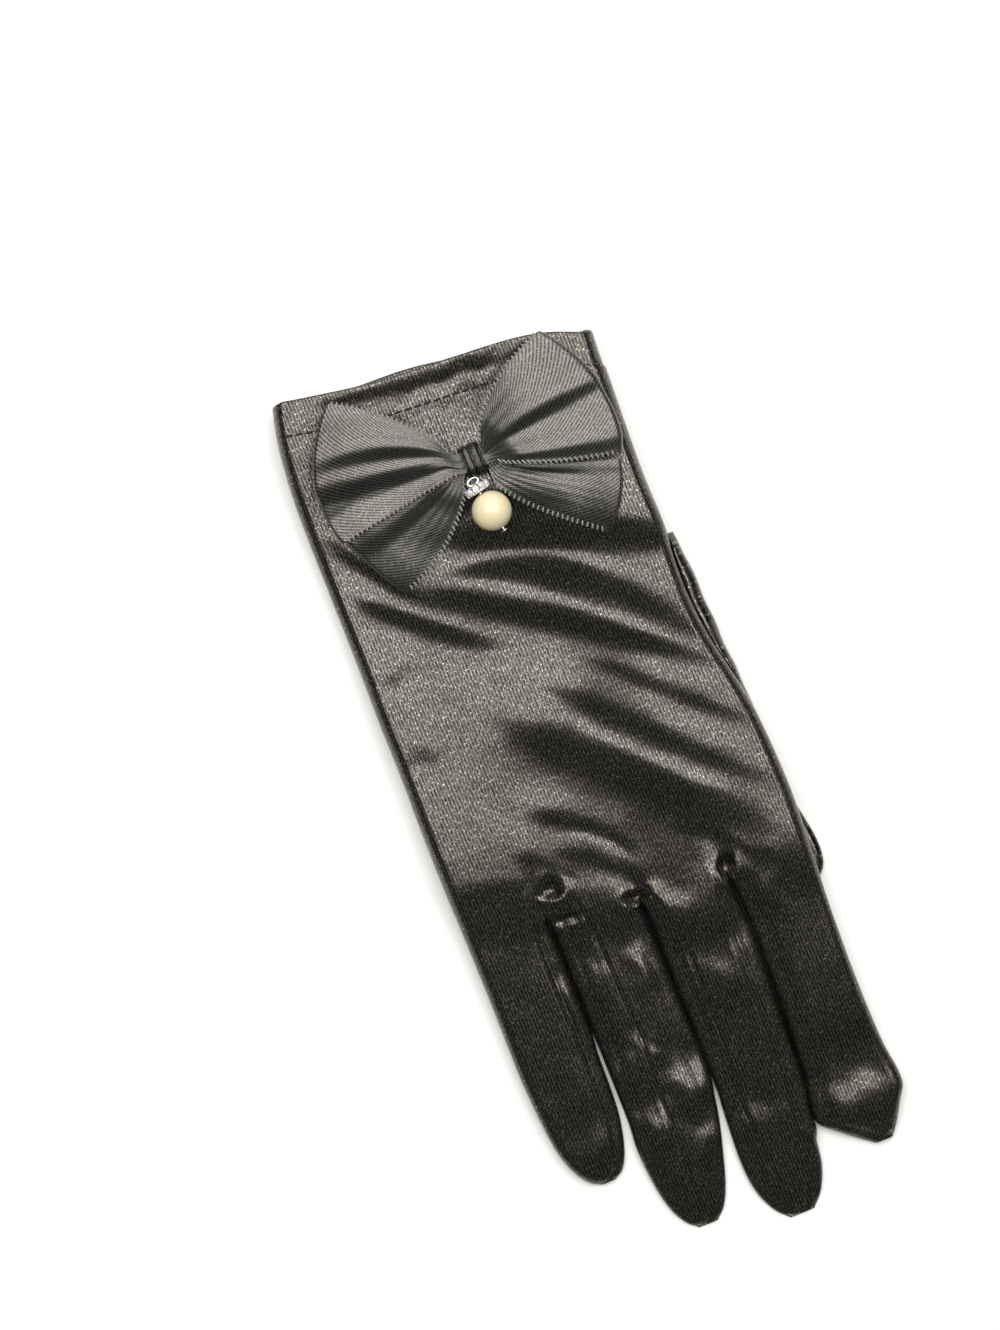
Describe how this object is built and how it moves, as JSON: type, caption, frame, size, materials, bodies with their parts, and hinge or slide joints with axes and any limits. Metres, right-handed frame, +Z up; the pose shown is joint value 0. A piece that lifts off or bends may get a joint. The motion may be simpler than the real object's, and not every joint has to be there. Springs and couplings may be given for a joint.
{
  "type": "wrist length dress glove with a ribbon bow",
  "caption": "Right-hand wrist length satin dress glove lying flat, open at the cuff, with a crossed ribbon bow and a bead drop with a stone spacer on its back.",
  "frame": {"origin": "under the middle of the palm, on the face that rests on the surface", "axes": "+X to the thumb side, +Y to the cuff, +Z up, out of the back of the hand"},
  "size_m": [0.0918, 0.2386, 0.0212],
  "materials": {
    "satin": "black satin with fine lengthwise wales",
    "ribbon": "black satin ribbon with fine diagonal ribs",
    "knot_ribbon": "narrow black satin ribbon",
    "pearl": "cream pearl lustre",
    "rondelle": "silver plate with clear stones",
    "pin_metal": "silver plated wire"
  },
  "bodies": {
    "root": {"trank": "satin", "little_finger": "satin", "ring_finger": "satin", "middle_finger": "satin", "index_finger": "satin", "fourchette_little_ring": "satin", "fourchette_ring_middle": "satin", "fourchette_middle_index": "satin", "cuff_hem": "satin", "thumb": "satin", "bow_lower_ribbon": "ribbon", "bow_upper_ribbon": "ribbon", "bow_knot": "knot_ribbon", "pearl": "pearl", "rondelle": "rondelle", "drop_pin": "pin_metal"}
  },
  "joints": []
}
